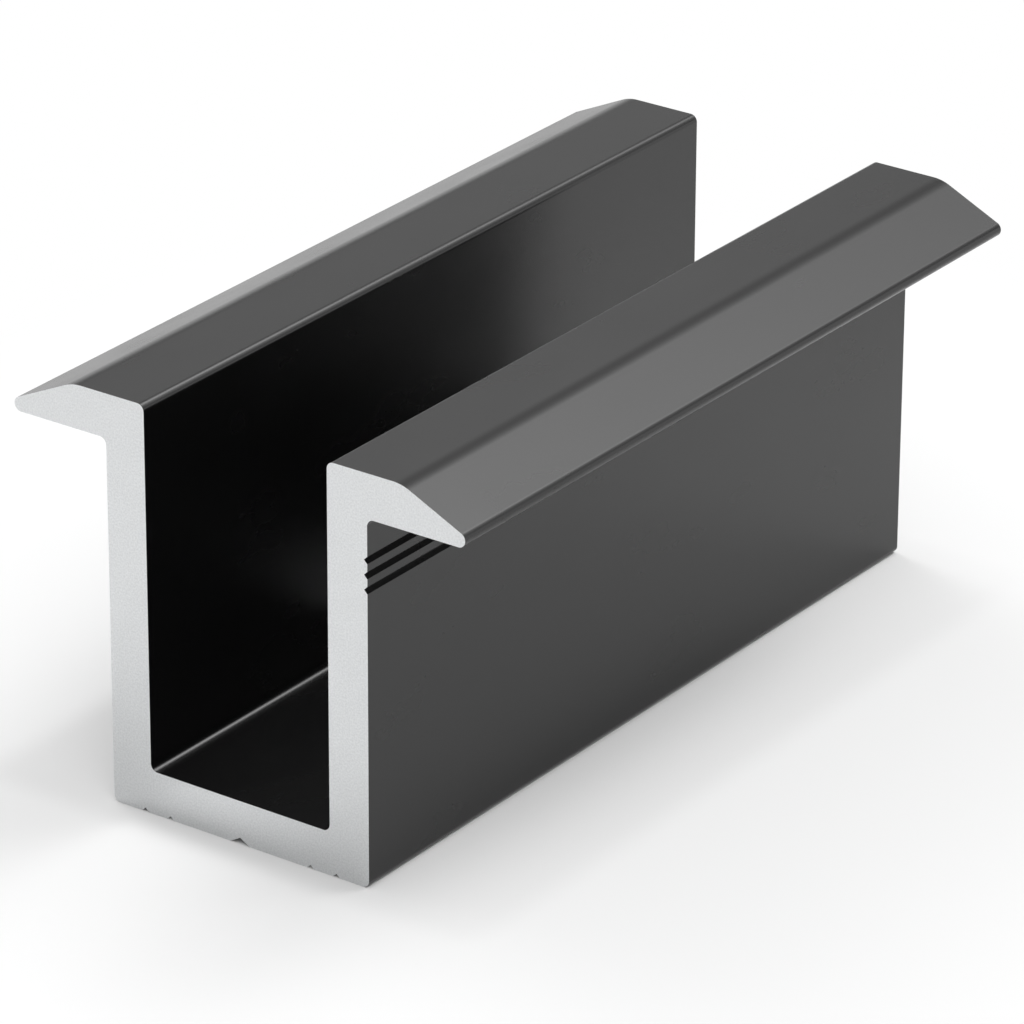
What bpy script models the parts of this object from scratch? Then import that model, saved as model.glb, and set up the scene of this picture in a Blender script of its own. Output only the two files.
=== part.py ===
"""Mid clamp for solar panels: one aluminium extrusion, black anodised, sawn to length and drilled.

Metres, +Z up. The origin is the middle of the underside, on the axis of the bolt hole.
X runs across the section towards the grooved wall, and Y runs along the extrusion.
"""

import math

import bmesh
import bpy
from mathutils import Matrix, Vector

# Channel
LENGTH = 0.060
CHANNEL_WIDTH = 0.020
HEIGHT = 0.028
WALL = 0.003
FLOOR = 0.003
CORNER_RADIUS = 0.0005

# Flanges, which hold the panel frames down
FLANGE_REACH = 0.00725
FLANGE_THICKNESS = 0.003
FLANGE_SLOPE = math.radians(25)
RIDGE_RADIUS = 0.003
NOSE_RADIUS = 0.0005

# Grip grooves along the outside of one wall
GROOVE_COUNT = 3
GROOVE_WIDTH = 0.0005
GROOVE_DEPTH = 0.00025
GROOVE_PITCH = 0.001
GROOVE_DROP = 0.00275

# Marks along the underside: one in the middle, and a group near each wall
CENTRE_MARK_WIDTH = 0.0015
CENTRE_MARK_DEPTH = 0.00043
SIDE_MARK_COUNT = 2
SIDE_MARK_WIDTH = 0.0005
SIDE_MARK_DEPTH = 0.00025
SIDE_MARK_PITCH = 0.002
SIDE_MARK_INSET = 0.0025

# Hole for the clamping bolt, through the middle of the floor
BOLT_HOLE_DIAMETER = 0.009
HOLE_EDGE_BREAK = 0.0003
CUT_OVERRUN = 0.001

# Fineness of the curves
ARC_STEP = math.radians(7.5)
HOLE_SEGMENTS = 72
SMOOTH_BELOW = math.radians(20)
WELD_DISTANCE = 1e-6

# Finishes: colour, roughness, metallic
BLACK_ANODISED = ((0.012, 0.012, 0.013, 1), 0.32, 0)
BARE_CUT = ((0.80, 0.81, 0.81, 1), 0.42, 1)


def clear_scene():
    for obj in list(bpy.data.objects):
        bpy.data.objects.remove(obj, do_unlink=True)


def new_collection(name):
    collection = bpy.data.collections.new(name)
    bpy.context.scene.collection.children.link(collection)
    return collection


def new_material(name, finish):
    colour, roughness, metallic = finish
    material = bpy.data.materials.new(name)
    material.use_nodes = True
    shader = material.node_tree.nodes["Principled BSDF"]
    shader.inputs["Base Color"].default_value = colour
    shader.inputs["Roughness"].default_value = roughness
    shader.inputs["Metallic"].default_value = metallic
    return material


def rounded(before, corner, after, radius):
    """The arc that rounds a corner, from its tangent point on one side to that on the other."""
    to_before = (before - corner).normalized()
    to_after = (after - corner).normalized()
    half_angle = to_before.angle(to_after) / 2
    centre = corner + (to_before + to_after).normalized() * radius / math.sin(half_angle)
    start = corner + to_before * radius / math.tan(half_angle) - centre
    sweep = start.angle_signed(corner + to_after * radius / math.tan(half_angle) - centre)
    steps = max(2, math.ceil(abs(sweep) / ARC_STEP))
    return [centre + Matrix.Rotation(-sweep * i / steps, 2) @ start for i in range(steps + 1)]


def outline_of(corners):
    """Points of a closed outline, given as (x, height, radius) corners. A radius of zero stays sharp."""
    places = [Vector((x, height)) for x, height, _ in corners]
    points = []
    for i, (_, _, radius) in enumerate(corners):
        if radius:
            points += rounded(places[i - 1], places[i], places[(i + 1) % len(places)], radius)
        else:
            points.append(places[i])
    return points


def mark_corners(middle, width, depth):
    """A V cut up into the underside, from left to right."""
    return [(middle - width / 2, 0, 0), (middle, depth, 0), (middle + width / 2, 0, 0)]


def groove_corners(face, middle, width, depth):
    """A V cut into an outer wall, from the bottom up."""
    return [(face, middle - width / 2, 0), (face - depth, middle, 0), (face, middle + width / 2, 0)]


def underside_corners(outer):
    """The underside from just right of its middle out to the wall."""
    corners = [(CENTRE_MARK_WIDTH / 2, 0, 0)]
    for i in reversed(range(SIDE_MARK_COUNT)):
        middle = outer - SIDE_MARK_INSET - i * SIDE_MARK_PITCH
        corners += mark_corners(middle, SIDE_MARK_WIDTH, SIDE_MARK_DEPTH)
    return corners + [(outer, 0, CORNER_RADIUS)]


def wall_corners(outer, grooves):
    """The outside of the wall, from below its grooves up to the flange."""
    underside = HEIGHT - FLANGE_THICKNESS
    corners = []
    for i in reversed(range(grooves)):
        middle = underside - GROOVE_DROP - i * GROOVE_PITCH
        corners += groove_corners(outer, middle, GROOVE_WIDTH, GROOVE_DEPTH)
    return corners + [(outer, underside, CORNER_RADIUS)]


def flange_corners(outer):
    """The flange's nose and the ridge where its slope meets the flat top."""
    tip = outer + FLANGE_REACH - NOSE_RADIUS + NOSE_RADIUS / math.tan(FLANGE_SLOPE / 2)
    ridge = tip - FLANGE_THICKNESS / math.tan(FLANGE_SLOPE)
    return [(tip, HEIGHT - FLANGE_THICKNESS, NOSE_RADIUS), (ridge, HEIGHT, RIDGE_RADIUS)]


def half_section(grooves):
    """The right half of the section, from the underside round to the inside of the floor."""
    outer = CHANNEL_WIDTH / 2
    inner = outer - WALL
    mouth = [(inner, HEIGHT, CORNER_RADIUS), (inner, FLOOR, CORNER_RADIUS)]
    return underside_corners(outer) + wall_corners(outer, grooves) + flange_corners(outer) + mouth


def section():
    """The whole section, anticlockwise from the apex of the middle mark. Only the right wall is grooved."""
    left = [(-x, height, radius) for x, height, radius in reversed(half_section(0))]
    return outline_of([(0, CENTRE_MARK_DEPTH, 0)] + half_section(GROOVE_COUNT) + left)


def extrusion_curve(points):
    """The section as a filled flat curve, half the length thick each way, stood up so that it runs along Y."""
    curve = bpy.data.curves.new("clamp_section", "CURVE")
    curve.dimensions = "2D"
    curve.fill_mode = "BOTH"
    curve.extrude = LENGTH / 2
    spline = curve.splines.new("POLY")
    spline.points.add(len(points) - 1)
    for point, place in zip(spline.points, points):
        point.co = (place.x, place.y, 0, 1)
    spline.use_cyclic_u = True
    obj = bpy.data.objects.new("clamp_section", curve)
    obj.rotation_euler.x = math.pi / 2
    return obj


def curve_to_mesh(curve_object, name, collection):
    """The curve's shape as a closed mesh object in the same place. The curve is removed."""
    collection.objects.link(curve_object)
    graph = bpy.context.evaluated_depsgraph_get()
    mesh = bpy.data.meshes.new_from_object(curve_object.evaluated_get(graph))
    work = bmesh.new()
    work.from_mesh(mesh)
    bmesh.ops.remove_doubles(work, verts=work.verts, dist=WELD_DISTANCE)
    work.to_mesh(mesh)
    work.free()
    obj = bpy.data.objects.new(name, mesh)
    obj.matrix_world = curve_object.matrix_world
    collection.objects.link(obj)
    bpy.data.objects.remove(curve_object, do_unlink=True)
    return obj


def bolt_hole_cutter(collection, material):
    """A turned cutter: the hole's bore, with a cone at each end that breaks the hole's edge."""
    bore = BOLT_HOLE_DIAMETER / 2
    top, bottom = FLOOR + CUT_OVERRUN, -CUT_OVERRUN
    flare = bore + HOLE_EDGE_BREAK + CUT_OVERRUN
    profile = [
        (0, top),
        (flare, top),
        (bore, FLOOR - HOLE_EDGE_BREAK),
        (bore, HOLE_EDGE_BREAK),
        (flare, bottom),
        (0, bottom),
    ]
    mesh = bpy.data.meshes.new("bolt_hole_cutter")
    edges = [(i, i + 1) for i in range(len(profile) - 1)]
    mesh.from_pydata([(radius, 0, height) for radius, height in profile], edges, [])
    mesh.materials.append(material)
    cutter = bpy.data.objects.new("bolt_hole_cutter", mesh)
    collection.objects.link(cutter)
    cutter.hide_render = True
    cutter.display_type = "WIRE"
    screw = cutter.modifiers.new("turn", "SCREW")
    screw.steps = screw.render_steps = HOLE_SEGMENTS
    screw.use_merge_vertices = True
    screw.merge_threshold = WELD_DISTANCE
    return cutter


def finish_faces(mesh, skin, bare):
    """Anodised skin all round, and bare metal where the saw cut the ends."""
    mesh.materials.clear()
    mesh.materials.append(skin)
    mesh.materials.append(bare)
    # The mesh still lies flat, as its curve did, so the sawn ends face along its own Z.
    for face in mesh.polygons:
        face.material_index = 1 if abs(face.normal.z) > face.normal.xy.length else 0
    mesh.shade_smooth()
    mesh.set_sharp_from_angle(angle=SMOOTH_BELOW)


def clamp_body(parts, cutters):
    skin = new_material("black_anodised", BLACK_ANODISED)
    bare = new_material("bare_cut_aluminium", BARE_CUT)
    body = curve_to_mesh(extrusion_curve(section()), "clamp_body", parts)
    finish_faces(body.data, skin, bare)
    drill = body.modifiers.new("bolt_hole", "BOOLEAN")
    drill.operation = "DIFFERENCE"
    drill.solver = "EXACT"
    drill.material_mode = "TRANSFER"
    drill.object = bolt_hole_cutter(cutters, bare)
    return body


def main():
    clear_scene()
    clamp_body(new_collection("mid_clamp"), new_collection("mid_clamp_cutters"))


main()
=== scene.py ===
import math

import bpy
from mathutils import Matrix, Vector


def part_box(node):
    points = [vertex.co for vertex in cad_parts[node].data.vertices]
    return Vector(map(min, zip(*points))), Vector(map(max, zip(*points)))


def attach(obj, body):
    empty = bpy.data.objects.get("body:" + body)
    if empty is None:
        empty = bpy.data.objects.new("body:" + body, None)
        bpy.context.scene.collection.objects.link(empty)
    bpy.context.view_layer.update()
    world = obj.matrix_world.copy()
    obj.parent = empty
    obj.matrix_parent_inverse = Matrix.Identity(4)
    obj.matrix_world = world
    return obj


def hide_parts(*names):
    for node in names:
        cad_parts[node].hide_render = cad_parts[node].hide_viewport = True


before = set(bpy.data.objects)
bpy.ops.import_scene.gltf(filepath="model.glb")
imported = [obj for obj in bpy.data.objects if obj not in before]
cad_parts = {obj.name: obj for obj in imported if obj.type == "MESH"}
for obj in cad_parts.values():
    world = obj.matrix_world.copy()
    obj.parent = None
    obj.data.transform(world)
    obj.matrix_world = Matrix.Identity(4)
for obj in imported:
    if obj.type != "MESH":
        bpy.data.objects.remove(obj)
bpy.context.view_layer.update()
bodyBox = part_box("clamp_body")

mm = 0.001


# Small helpers

def addNode(tree, kind, settings=None, inputs=None):
    # inputs takes values or sockets, by socket name or number
    node = tree.nodes.new(kind)
    for name, value in (settings or {}).items():
        setattr(node, name, value)
    for name, value in (inputs or {}).items():
        if isinstance(value, bpy.types.NodeSocket):
            tree.links.new(value, node.inputs[name])
        else:
            node.inputs[name].default_value = value
    return node


def addMath(tree, operation, *values):
    settings = {"operation": operation}
    return addNode(tree, "ShaderNodeMath", settings, dict(enumerate(values))).outputs[0]


def addVectorMath(tree, operation, *vectors):
    node = addNode(tree, "ShaderNodeVectorMath", {"operation": operation}, dict(enumerate(vectors)))
    return node.outputs["Value" if operation in ("LENGTH", "DOT_PRODUCT") else "Vector"]


def addRange(tree, value, fromLow, fromHigh, toLow=0, toHigh=1, smooth=False):
    # maps one span of values onto another, and holds past its ends
    return addNode(tree, "ShaderNodeMapRange", {
        "interpolation_type": "SMOOTHSTEP" if smooth else "LINEAR",
    }, {
        "Value": value,
        "From Min": fromLow,
        "From Max": fromHigh,
        "To Min": toLow,
        "To Max": toHigh,
    }).outputs["Result"]


def newMaterial(name):
    material = bpy.data.materials.new(name)
    material.use_nodes = True
    tree = material.node_tree
    return material, tree, tree.nodes["Principled BSDF"]


def directionFrom(azimuth, elevation):
    # azimuth 0 is straight in front of the sawn near end, 90 is the grooved side
    a, e = math.radians(azimuth), math.radians(elevation)
    return Vector((math.sin(a) * math.cos(e), -math.cos(a) * math.cos(e), math.sin(e)))


# Camera

cameraSetup = {
    "azimuth": 35.557,
    "elevation": 24.817,
    "roll": 0.267,
    "distance": 423.86 * mm,
    "aimRight": -0.66 * mm,      # the lens looks a little left of and below the clamp's middle
    "aimUp": -2.24 * mm,
    "lens": 230.55,
    "sensor": 36,
    "clipStart": 10 * mm,
    "clipEnd": 20,
}


def makeCamera(setup):
    data = bpy.data.cameras.new("studioCamera")
    data.lens = setup["lens"]
    data.sensor_width = setup["sensor"]
    data.clip_start = setup["clipStart"]
    data.clip_end = setup["clipEnd"]
    camera = bpy.data.objects.new("studioCamera", data)
    bpy.context.scene.collection.objects.link(camera)
    back = directionFrom(setup["azimuth"], setup["elevation"])
    right = Vector((0, 0, 1)).cross(back).normalized()
    up = back.cross(right)
    turn = Matrix.Rotation(math.radians(setup["roll"]), 3, back)
    right, up = turn @ right, turn @ up
    middle = (bodyBox[0] + bodyBox[1]) / 2
    place = middle + back * setup["distance"] + right * setup["aimRight"] + up * setup["aimUp"]
    facing = Matrix((right, up, back)).transposed().to_4x4()
    camera.matrix_world = Matrix.Translation(place) @ facing
    bpy.context.scene.camera = camera


# Studio: a pale floor under a dome of soft lights, with no lamps

floorSetup = {
    "radius": 4,
    "sides": 96,
    "colour": (0.865, 0.865, 0.865, 1),
    "shadowLiftAtClamp": 0.18,        # painted light: share of plain white that the eye sees over the clamp's shadow, close to the clamp
    "shadowLiftNear": 0.42,           # and a little away from it
    "coveredTo": 0.2 * mm,       # none under the channel, and all of it this far outside
    "risesFrom": 0.5 * mm,       # it rises between these distances from the clamp
    "risesTo": 3.5 * mm,
    "fadesFrom": 28 * mm,        # further out the floor turns white for the eye and for mirrors
    "fadesTo": 46 * mm,
}

# A light is as bright as white paper at a brightness of 1, and half as bright "spread" degrees
# away from its middle. Its azimuth is 0 in front of the near end, 90 beside the grooved wall and
# 180 behind the far end. The low ones stay under 1, or they would bleach the flanges from behind.
# The choice of lights and their brightnesses are a least-squares fit to the photo's tones.
domeSetup = {
    "horizon": {"brightness": 1, "fadesFrom": 9, "fadesTo": 14},     # white band, in degrees up
    "softLights": {
        "frontMiddle": {"azimuth": 0, "elevation": 22, "spread": 14.4, "brightness": 0.90},
        "front": {"azimuth": 22.5, "elevation": 22, "spread": 14.4, "brightness": 0.90},
        "rightFront": {"azimuth": 45, "elevation": 22, "spread": 14.4, "brightness": 0.90},
        "rightBehindLow": {"azimuth": 135, "elevation": 22, "spread": 14.4, "brightness": 0.90},
        "left": {"azimuth": 257, "elevation": 40, "spread": 14.4, "brightness": 4.29},
        "rightFrontHigh": {"azimuth": 40, "elevation": 60, "spread": 14.4, "brightness": 3.76},
        "leftFrontHigh": {"azimuth": 320, "elevation": 60, "spread": 14.4, "brightness": 0.91},
        "leftBehind": {"azimuth": 215, "elevation": 28, "spread": 8.7, "brightness": 1.02},
        "rightBehind": {"azimuth": 140, "elevation": 40, "spread": 8.7, "brightness": 2.82},
        "behindMiddle": {"azimuth": 170, "elevation": 40, "spread": 8.7, "brightness": 1.12},
        "behind": {"azimuth": 185, "elevation": 40, "spread": 8.7, "brightness": 0.36},
        "behindLeft": {"azimuth": 200, "elevation": 40, "spread": 8.7, "brightness": 0.56},
        "behindRightHigh": {"azimuth": 155, "elevation": 52, "spread": 8.7, "brightness": 2.30},
        "behindHigh": {"azimuth": 170, "elevation": 52, "spread": 8.7, "brightness": 6.98},
        "behindTop": {"azimuth": 155, "elevation": 64, "spread": 8.7, "brightness": 4.11},
        "behindTopLeft": {"azimuth": 230, "elevation": 64, "spread": 8.7, "brightness": 0.47},
    },
}


def distanceOutside(tree, halfWidth, halfLength):
    # how far a place on the floor lies outside a rectangle round the middle
    place = addNode(tree, "ShaderNodeTexCoord").outputs["Object"]
    aside = addVectorMath(tree, "ABSOLUTE", place)
    past = addVectorMath(tree, "SUBTRACT", aside, (halfWidth, halfLength, 0))
    return addVectorMath(tree, "LENGTH", addVectorMath(tree, "MAXIMUM", past, (0, 0, 0)))


def floorMaterial(setup):
    material, tree, shader = newMaterial("studioFloor")
    shader.inputs["Base Color"].default_value = setup["colour"]
    shader.inputs["Roughness"].default_value = 1
    shader.inputs["Specular IOR Level"].default_value = 0
    half = (bodyBox[1] - bodyBox[0]) / 2
    away = distanceOutside(tree, half.x, half.y)
    # painted light: white for the eye alone that lifts the clamp's cast shadow near it, with less
    # of it right at the clamp
    near = addRange(tree, away, setup["risesFrom"], setup["risesTo"],
                    setup["shadowLiftAtClamp"], setup["shadowLiftNear"], smooth=True)
    far = addRange(tree, away, setup["fadesFrom"], setup["fadesTo"], smooth=True)
    # none of this painted light under the channel, so that the marks in its underside stay dark
    pastChannel = distanceOutside(tree, clampSizes["channelWidth"] / 2, half.y)
    near = addMath(tree, "MULTIPLY", near, addRange(tree, pastChannel, 0, setup["coveredTo"]))
    rays = addNode(tree, "ShaderNodeLightPath").outputs
    mirrored = addMath(tree, "MAXIMUM", rays["Is Glossy Ray"], rays["Is Transmission Ray"])
    seen = addMath(tree, "MAXIMUM", rays["Is Camera Ray"], mirrored)
    # the painted light over the shadow is for camera rays only
    paintedShadowLift = addMath(tree, "MULTIPLY", near, rays["Is Camera Ray"])
    share = addMath(tree, "MAXIMUM", paintedShadowLift, addMath(tree, "MULTIPLY", far, seen))
    white = addNode(tree, "ShaderNodeEmission", inputs={"Color": (1, 1, 1, 1), "Strength": 1})
    mixed = addNode(tree, "ShaderNodeMixShader", inputs={
        0: share, 1: shader.outputs[0], 2: white.outputs[0]})
    tree.links.new(mixed.outputs[0], tree.nodes["Material Output"].inputs["Surface"])
    return material


def makeFloor(setup):
    bpy.ops.mesh.primitive_circle_add(
        vertices=setup["sides"], radius=setup["radius"], fill_type="NGON")
    floor = bpy.context.object
    floor.name = "studioFloor"
    floor.data.materials.append(floorMaterial(setup))


def softLight(tree, towards, light):
    middle = directionFrom(light["azimuth"], light["elevation"])
    sharpness = math.log(2) / (1 - math.cos(math.radians(light["spread"])))
    past = addMath(tree, "SUBTRACT", addVectorMath(tree, "DOT_PRODUCT", towards, middle), 1.0)
    fall = addMath(tree, "EXPONENT", addMath(tree, "MULTIPLY", past, sharpness))
    return addMath(tree, "MULTIPLY", fall, light["brightness"])


def horizonBand(tree, towards, horizon):
    height = addNode(tree, "ShaderNodeSeparateXYZ", inputs={0: towards}).outputs["Z"]
    fromHeight = math.sin(math.radians(horizon["fadesFrom"]))
    toHeight = math.sin(math.radians(horizon["fadesTo"]))
    return addRange(tree, height, fromHeight, toHeight, horizon["brightness"], 0, smooth=True)


def makeDome(setup):
    world = bpy.data.worlds.new("studioDome")
    bpy.context.scene.world = world
    world.use_nodes = True
    tree = world.node_tree
    background = tree.nodes["Background"]
    background.inputs["Color"].default_value = (1, 1, 1, 1)
    place = addNode(tree, "ShaderNodeTexCoord").outputs["Generated"]
    towards = addVectorMath(tree, "NORMALIZE", place)
    total = 0.0
    for light in setup["softLights"].values():
        total = addMath(tree, "ADD", softLight(tree, towards, light), total)
    total = addMath(tree, "ADD", total, horizonBand(tree, towards, setup["horizon"]))
    # what the sawn end would throw onto the floor is left out
    rays = addNode(tree, "ShaderNodeLightPath").outputs
    direct = addMath(tree, "LESS_THAN", rays["Diffuse Depth"], 0.5)     # no diffuse bounce yet
    allowed = addMath(tree, "MAXIMUM", direct, rays["Is Diffuse Ray"])
    strength = addMath(tree, "MULTIPLY", total, allowed)
    tree.links.new(strength, background.inputs["Strength"])


# Finishes of the clamp. A scale counts features per metre, and a pattern is drawn out along the
# axes whose stretch is small.

anodisedFinish = {
    "colour": (0.0031, 0.0031, 0.0032, 1),
    "ior": 1.5,
    "roughness": 0.26,
    "roughnessSpread": 0.02,
    "cloudScale": 220,
    "cloudStretch": (1, 0.5, 1),
    "grainScale": 5200,          # etched grain
    "grainDepth": 0.0006 * mm,
    "dieLineScale": 2600,        # lines that the die left along the length
    "dieLineStretch": (1, 0.004, 1),
    "dieLineDepth": 0.0005 * mm,
}

sawnFinish = {
    "speckColours": ((0.648, 0.66, 0.667, 1), (0.756, 0.768, 0.774, 1)),
    "speckScale": 8000,          # torn metal: fine specks lighter and darker than the cut
    "roughness": 0.38,
    "roughnessSpread": 0.05,
    "cloudScale": 500,
    "grainScale": 4800,
    "grainDepth": 0.0025 * mm,
    "strokeScale": 900,          # strokes of the saw, across the end
    "strokeStretch": (0.05, 1, 1),
    "strokeDepth": 0.0015 * mm,
}

boreFinish = {
    "colour": (0.70, 0.705, 0.71, 1),
    "roughness": 0.3,
    "ringScale": 3500,           # rings that the drill left
    "ringStretch": (0.04, 0.04, 1),
    "ringDepth": 0.002 * mm,
}

noiseSpan = (0.3, 0.7)           # nearly all of a noise lies between these


def addNoise(tree, scale, stretch=(1, 1, 1), detail=2):
    # noise on the clamp's own coordinates
    place = addNode(tree, "ShaderNodeTexCoord").outputs["Object"]
    drawn = addVectorMath(tree, "MULTIPLY", place, stretch)
    inputs = {"Vector": drawn, "Scale": scale, "Detail": detail}
    return addNode(tree, "ShaderNodeTexNoise", {"noise_dimensions": "3D"}, inputs).outputs["Fac"]


def addBump(tree, height, depth, normal=None):
    inputs = {"Height": height, "Distance": depth, "Strength": 1}
    if normal:
        inputs["Normal"] = normal
    return addNode(tree, "ShaderNodeBump", inputs=inputs).outputs["Normal"]


def spreadRoughness(tree, shader, noise, middle, spread):
    roughness = addRange(tree, noise, *noiseSpan, middle - spread, middle + spread)
    tree.links.new(roughness, shader.inputs["Roughness"])


def anodisedMaterial(finish):
    material, tree, shader = newMaterial("blackAnodised")
    shader.inputs["Base Color"].default_value = finish["colour"]
    shader.inputs["IOR"].default_value = finish["ior"]
    cloud = addNoise(tree, finish["cloudScale"], finish["cloudStretch"], detail=4)
    spreadRoughness(tree, shader, cloud, finish["roughness"], finish["roughnessSpread"])
    lines = addNoise(tree, finish["dieLineScale"], finish["dieLineStretch"], detail=3)
    grain = addNoise(tree, finish["grainScale"])
    normal = addBump(tree, lines, finish["dieLineDepth"])
    normal = addBump(tree, grain, finish["grainDepth"], normal)
    tree.links.new(normal, shader.inputs["Normal"])
    return material


def sawnMaterial(finish):
    material, tree, shader = newMaterial("sawnEnd")
    shader.inputs["Metallic"].default_value = 1
    specks = addRange(tree, addNoise(tree, finish["speckScale"], detail=1), *noiseSpan)
    dark, light = finish["speckColours"]
    # a colour mix takes its colours at sockets 6 and 7 and gives one at 2
    colours = addNode(tree, "ShaderNodeMix", {"data_type": "RGBA"}, {0: specks, 6: dark, 7: light})
    tree.links.new(colours.outputs[2], shader.inputs["Base Color"])
    cloud = addNoise(tree, finish["cloudScale"], detail=4)
    spreadRoughness(tree, shader, cloud, finish["roughness"], finish["roughnessSpread"])
    strokes = addNoise(tree, finish["strokeScale"], finish["strokeStretch"], detail=4)
    grain = addNoise(tree, finish["grainScale"])
    normal = addBump(tree, strokes, finish["strokeDepth"])
    normal = addBump(tree, grain, finish["grainDepth"], normal)
    tree.links.new(normal, shader.inputs["Normal"])
    return material


def boreMaterial(finish):
    material, tree, shader = newMaterial("drilledBore")
    shader.inputs["Base Color"].default_value = finish["colour"]
    shader.inputs["Metallic"].default_value = 1
    shader.inputs["Roughness"].default_value = finish["roughness"]
    rings = addNoise(tree, finish["ringScale"], finish["ringStretch"], detail=3)
    tree.links.new(addBump(tree, rings, finish["ringDepth"]), shader.inputs["Normal"])
    return material


# The clamp: one extrusion, sawn to length and drilled. Its length, its height and its width over
# the flanges come from the CAD part's box.

clampSizes = {
    "channelWidth": 20 * mm,
    "wall": 3 * mm,
    "floor": 3 * mm,
    "cornerRadius": 0.5 * mm,
    "flangeThickness": 3 * mm,
    "flangeSlope": math.radians(25),
    "ridgeRadius": 3 * mm,
    "noseRadius": 0.5 * mm,
    "grooves": {
        "count": 3,
        "width": 0.5 * mm,
        "depth": 0.25 * mm,
        "pitch": 1 * mm,
        "drop": 2.75 * mm,       # from under the flange to the middle of the first
    },
    "middleMark": {"width": 1.5 * mm, "depth": 0.43 * mm},
    "sideMarks": {
        "count": 2,
        "width": 0.5 * mm,
        "depth": 0.25 * mm,
        "pitch": 2 * mm,
        "inset": 2.5 * mm,       # from the outer wall to the middle of the first
    },
    "holeDiameter": 9 * mm,
    "holeEdgeBreak": 0.3 * mm,
    "holeSides": 128,
    "arcStep": math.radians(3.75),
    "sharpFrom": math.radians(25),
}

cutOverrun = 1 * mm              # how far the drill goes past the floor on both sides
weldDistance = 0.001 * mm
sawnFacing = 0.999               # a face whose normal has more of Y than this was sawn
boredFacing = 0.75               # and one in the hole that has less of Z than this was drilled
boredFrom = 0.9                  # share of the drill's radius within which nothing was drilled


def sectionCorners(sizes, reach, height):
    # corners of the right half from the underside's middle mark round to the inside,
    # as (x, height, radius)
    outer = sizes["channelWidth"] / 2
    inner = outer - sizes["wall"]
    under = height - sizes["flangeThickness"]
    r = sizes["cornerRadius"]
    middleMark, marks, grooves = sizes["middleMark"], sizes["sideMarks"], sizes["grooves"]
    corners = [(0, middleMark["depth"], 0), (middleMark["width"] / 2, 0, 0)]
    for i in reversed(range(marks["count"])):
        x = outer - marks["inset"] - i * marks["pitch"]
        w, d = marks["width"] / 2, marks["depth"]
        corners += [(x - w, 0, 0), (x, d, 0), (x + w, 0, 0)]
    corners.append((outer, 0, r))
    for i in reversed(range(grooves["count"])):
        z = under - grooves["drop"] - i * grooves["pitch"]
        w, d = grooves["width"] / 2, grooves["depth"]
        corners += [(outer, z - w, 0), (outer - d, z, 0), (outer, z + w, 0)]
    nose = sizes["noseRadius"]
    tip = reach - nose + nose / math.tan(sizes["flangeSlope"] / 2)
    ridge = tip - sizes["flangeThickness"] / math.tan(sizes["flangeSlope"])
    corners += [(outer, under, r), (tip, under, nose), (ridge, height, sizes["ridgeRadius"])]
    corners += [(inner, height, r), (inner, sizes["floor"], r)]
    return corners


def wholeSection(sizes, reach, height):
    right = sectionCorners(sizes, reach, height)
    plain = dict(sizes, grooves=dict(sizes["grooves"], count=0))
    left = reversed(sectionCorners(plain, reach, height)[1:])
    return right + [(-x, z, radius) for x, z, radius in left]


def sectionObject(sizes, reach, height):
    # a closed ring of corners, each with the radius it is rounded to and the steps its arc takes
    corners = wholeSection(sizes, reach, height)
    count = len(corners)
    mesh = bpy.data.meshes.new("clampSection")
    edges = [(i, (i + 1) % count) for i in range(count)]
    mesh.from_pydata([(x, z, 0) for x, z, _ in corners], edges, [])
    radii = mesh.attributes.new("cornerRadius", "FLOAT", "POINT")
    steps = mesh.attributes.new("arcSteps", "INT", "POINT")
    for i, (x, z, radius) in enumerate(corners):
        before = Vector(corners[i - 1][:2]) - Vector((x, z))
        after = Vector(corners[(i + 1) % count][:2]) - Vector((x, z))
        sweep = math.pi - before.angle(after)
        radii.data[i].value = radius
        steps.data[i].value = max(1, round(sweep / sizes["arcStep"])) if radius else 1
    section = bpy.data.objects.new("clampSection", mesh)
    bpy.context.scene.collection.objects.link(section)
    return section


def namedAttribute(tree, name, kind="FLOAT"):
    node = addNode(tree, "GeometryNodeInputNamedAttribute", {"data_type": kind}, {"Name": name})
    return node.outputs["Attribute"]


def splitVector(tree, kind):
    # X, Y and Z of what an input node gives
    given = tree.nodes.new(kind).outputs[0]
    return addNode(tree, "ShaderNodeSeparateXYZ", inputs={0: given}).outputs


def welded(tree, geometry):
    inputs = {"Geometry": geometry, "Distance": weldDistance}
    return addNode(tree, "GeometryNodeMergeByDistance", inputs=inputs).outputs["Geometry"]


def roundedSection(tree, ring):
    # the ring with its corners rounded, filled
    curve = addNode(tree, "GeometryNodeMeshToCurve", inputs={"Mesh": ring}).outputs["Curve"]
    rounded = addNode(tree, "GeometryNodeFilletCurve", {"mode": "POLY"}, {
        "Curve": curve,
        "Count": namedAttribute(tree, "arcSteps", "INT"),
        "Radius": namedAttribute(tree, "cornerRadius"),
    }).outputs["Curve"]
    filled = addNode(tree, "GeometryNodeFillCurve", {"mode": "NGONS"}, {"Curve": rounded})
    return filled.outputs["Mesh"]


def drawnOut(tree, section, length):
    # the section drawn out to its length, closed at both ends and laid along Y
    along = addNode(tree, "ShaderNodeCombineXYZ", inputs={"Z": length}).outputs["Vector"]
    drawn = addNode(tree, "GeometryNodeExtrudeMesh", {"mode": "FACES"}, {
        "Mesh": section, "Offset": along, "Offset Scale": 1, "Individual": False}).outputs["Mesh"]
    back = addNode(tree, "GeometryNodeFlipFaces", inputs={"Mesh": section}).outputs["Mesh"]
    joined = tree.nodes.new("GeometryNodeJoinGeometry")
    tree.links.new(drawn, joined.inputs[0])
    tree.links.new(back, joined.inputs[0])
    half = addMath(tree, "DIVIDE", length, 2)
    shift = addNode(tree, "ShaderNodeCombineXYZ", inputs={"Y": half}).outputs["Vector"]
    return addNode(tree, "GeometryNodeTransform", inputs={
        "Geometry": welded(tree, joined.outputs[0]),
        "Translation": shift,
        "Rotation": (math.pi / 2, 0, 0),
    }).outputs["Geometry"]


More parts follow.
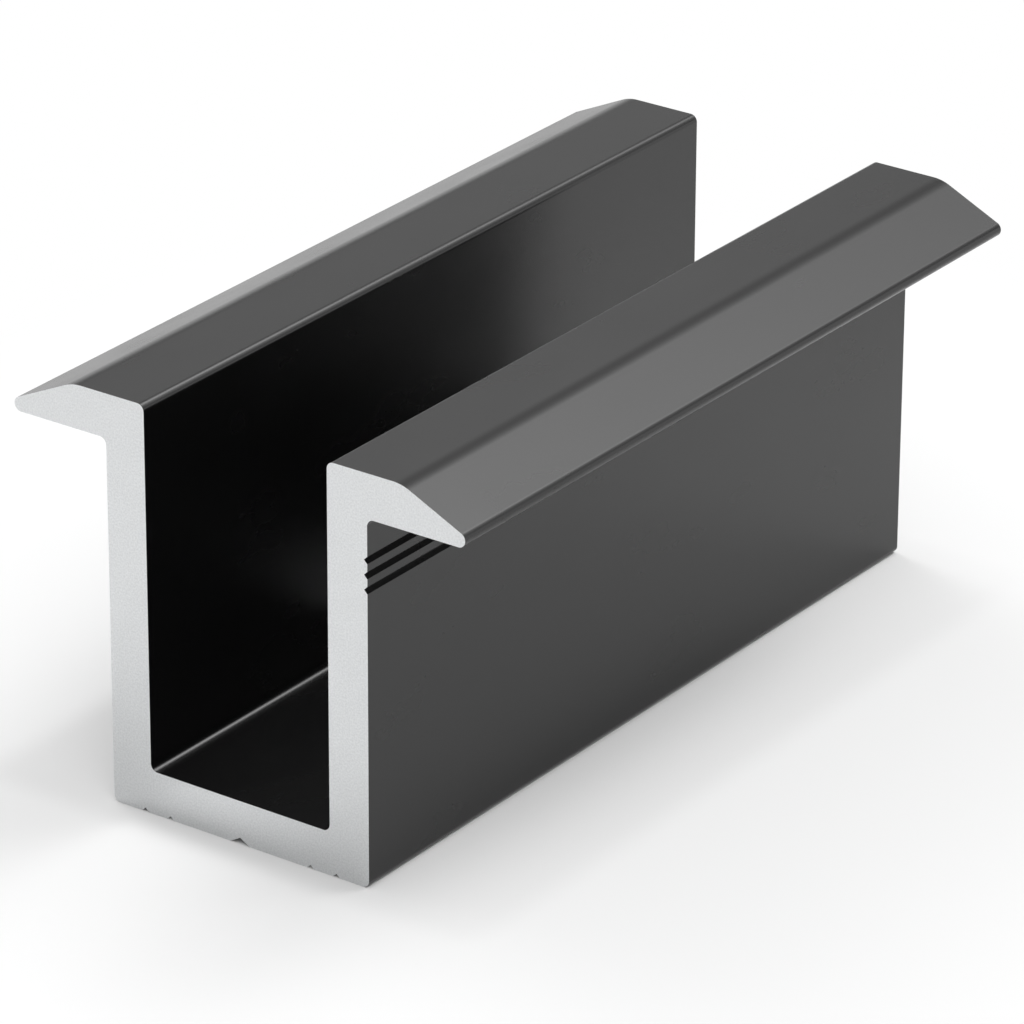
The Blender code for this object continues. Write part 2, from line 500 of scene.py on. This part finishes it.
def drillCutter(tree, radius, flare, floor, edgeBreak, sides):
    # four rings, the outer two flared at 45 degrees to break the hole's edges
    stack = addNode(tree, "GeometryNodeMeshCylinder", {"fill_type": "NGON"}, {
        "Vertices": sides, "Side Segments": 3, "Radius": 1, "Depth": 3}).outputs["Mesh"]
    ring = splitVector(tree, "GeometryNodeInputPosition")
    isOuter = addMath(tree, "GREATER_THAN", addMath(tree, "ABSOLUTE", ring["Z"]), 1)
    middle = addMath(tree, "DIVIDE", floor, 2)
    innerHeight = addMath(tree, "SUBTRACT", middle, edgeBreak)
    width = addMath(tree, "MULTIPLY_ADD", isOuter, flare, radius)
    height = addMath(tree, "MULTIPLY_ADD", isOuter, flare, innerHeight)
    side = addMath(tree, "SIGN", ring["Z"])
    place = addNode(tree, "ShaderNodeCombineXYZ", inputs={
        "X": addMath(tree, "MULTIPLY", ring["X"], width),
        "Y": addMath(tree, "MULTIPLY", ring["Y"], width),
        "Z": addMath(tree, "MULTIPLY_ADD", side, height, middle),
    }).outputs["Vector"]
    return addNode(tree, "GeometryNodeSetPosition", inputs={
        "Geometry": stack, "Position": place}).outputs["Geometry"]


def boredFaces(tree, normal, radius, flare, floor):
    # faces inside the flare and as low as the floor that are steep and no part of a mark
    place = splitVector(tree, "GeometryNodeInputPosition")
    fromAxis = addMath(tree, "SQRT", addMath(
        tree, "ADD", addMath(tree, "POWER", place["X"], 2), addMath(tree, "POWER", place["Y"], 2)))
    inHole = addMath(tree, "LESS_THAN", fromAxis, addMath(tree, "ADD", radius, flare))
    steep = addMath(tree, "LESS_THAN", addMath(tree, "ABSOLUTE", normal["Z"]), boredFacing)
    low = addMath(tree, "LESS_THAN", place["Z"], floor)
    notMark = addMath(tree, "GREATER_THAN", fromAxis, addMath(tree, "MULTIPLY", radius, boredFrom))
    inBore = addMath(tree, "MULTIPLY", inHole, steep)
    return addMath(tree, "MULTIPLY", inBore, addMath(tree, "MULTIPLY", low, notMark))


def extrusionTree():
    tree = bpy.data.node_groups.new("sawnExtrusion", "GeometryNodeTree")
    face = tree.interface
    face.new_socket("Section", in_out="INPUT", socket_type="NodeSocketGeometry")
    for name in ("Length", "Floor", "Hole Diameter", "Hole Edge Break", "Cut Overrun"):
        face.new_socket(name, in_out="INPUT", socket_type="NodeSocketFloat")
    face.new_socket("Hole Sides", in_out="INPUT", socket_type="NodeSocketInt")
    for name in ("Skin", "Sawn End", "Bore"):
        face.new_socket(name, in_out="INPUT", socket_type="NodeSocketMaterial")
    face.new_socket("Clamp", in_out="OUTPUT", socket_type="NodeSocketGeometry")
    given = tree.nodes.new("NodeGroupInput").outputs

    # shape
    bar = drawnOut(tree, roundedSection(tree, given["Section"]), given["Length"])
    radius = addMath(tree, "DIVIDE", given["Hole Diameter"], 2)
    flare = addMath(tree, "ADD", given["Hole Edge Break"], given["Cut Overrun"])
    cutter = drillCutter(
        tree, radius, flare, given["Floor"], given["Hole Edge Break"], given["Hole Sides"])
    cut = addNode(tree, "GeometryNodeMeshBoolean", {"operation": "DIFFERENCE", "solver": "EXACT"}, {
        "Mesh 1": bar, "Mesh 2": cutter})
    clamp = welded(tree, cut.outputs["Mesh"])

    # which faces were sawn and which were bored
    normal = splitVector(tree, "GeometryNodeInputNormal")
    sawn = addMath(tree, "GREATER_THAN", addMath(tree, "ABSOLUTE", normal["Y"]), sawnFacing)
    bored = boredFaces(tree, normal, radius, flare, given["Floor"])
    for name, value in (("sawnFace", sawn), ("boredFace", bored)):
        clamp = addNode(tree, "GeometryNodeStoreNamedAttribute", {
            "data_type": "FLOAT", "domain": "FACE",
        }, {"Geometry": clamp, "Name": name, "Value": value}).outputs["Geometry"]

    # finishes
    clamp = addNode(tree, "GeometryNodeRealizeInstances", inputs={
        "Geometry": clamp}).outputs["Geometry"]
    clamp = addNode(tree, "GeometryNodeSetMaterial", inputs={
        "Geometry": clamp, "Material": given["Skin"]}).outputs["Geometry"]
    for name, material in (("sawnFace", given["Sawn End"]), ("boredFace", given["Bore"])):
        clamp = addNode(tree, "GeometryNodeSetMaterial", inputs={
            "Geometry": clamp,
            "Selection": namedAttribute(tree, name),
            "Material": material,
        }).outputs["Geometry"]
    tree.links.new(clamp, tree.nodes.new("NodeGroupOutput").inputs[0])
    return tree


def setInputs(modifier, values):
    sockets = {item.name: item.identifier for item in modifier.node_group.interface.items_tree
               if item.item_type == "SOCKET" and item.in_out == "INPUT"}
    for name, value in values.items():
        modifier[sockets[name]] = value


def makeClamp(sizes, skin, sawnEnd, bore):
    low, high = bodyBox
    section = sectionObject(sizes, high.x, high.z)
    modifier = section.modifiers.new("sawnExtrusion", "NODES")
    modifier.node_group = extrusionTree()
    setInputs(modifier, {
        "Length": high.y - low.y,
        "Floor": sizes["floor"],
        "Hole Diameter": sizes["holeDiameter"],
        "Hole Edge Break": sizes["holeEdgeBreak"],
        "Cut Overrun": cutOverrun,
        "Hole Sides": sizes["holeSides"],
        "Skin": skin,
        "Sawn End": sawnEnd,
        "Bore": bore,
    })
    graph = bpy.context.evaluated_depsgraph_get()
    mesh = bpy.data.meshes.new_from_object(section.evaluated_get(graph))
    mesh.name = "clampBody"
    bpy.data.objects.remove(section, do_unlink=True)
    clamp = bpy.data.objects.new("clampBody", mesh)
    bpy.context.scene.collection.objects.link(clamp)
    mesh.shade_smooth()
    mesh.set_sharp_from_angle(angle=sizes["sharpFrom"])
    smooth = clamp.modifiers.new("flatFacesStayFlat", "WEIGHTED_NORMAL")
    smooth.keep_sharp = True
    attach(clamp, "root")
    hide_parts("clamp_body")
    return clamp


makeCamera(cameraSetup)
print("camera set")
makeFloor(floorSetup)
makeDome(domeSetup)
print("studio lit")
clampBody = makeClamp(
    clampSizes,
    anodisedMaterial(anodisedFinish),
    sawnMaterial(sawnFinish),
    boreMaterial(boreFinish),
)
print("clamp made,", len(clampBody.data.polygons), "faces")

bpy.context.scene.view_settings.view_transform = "Standard"
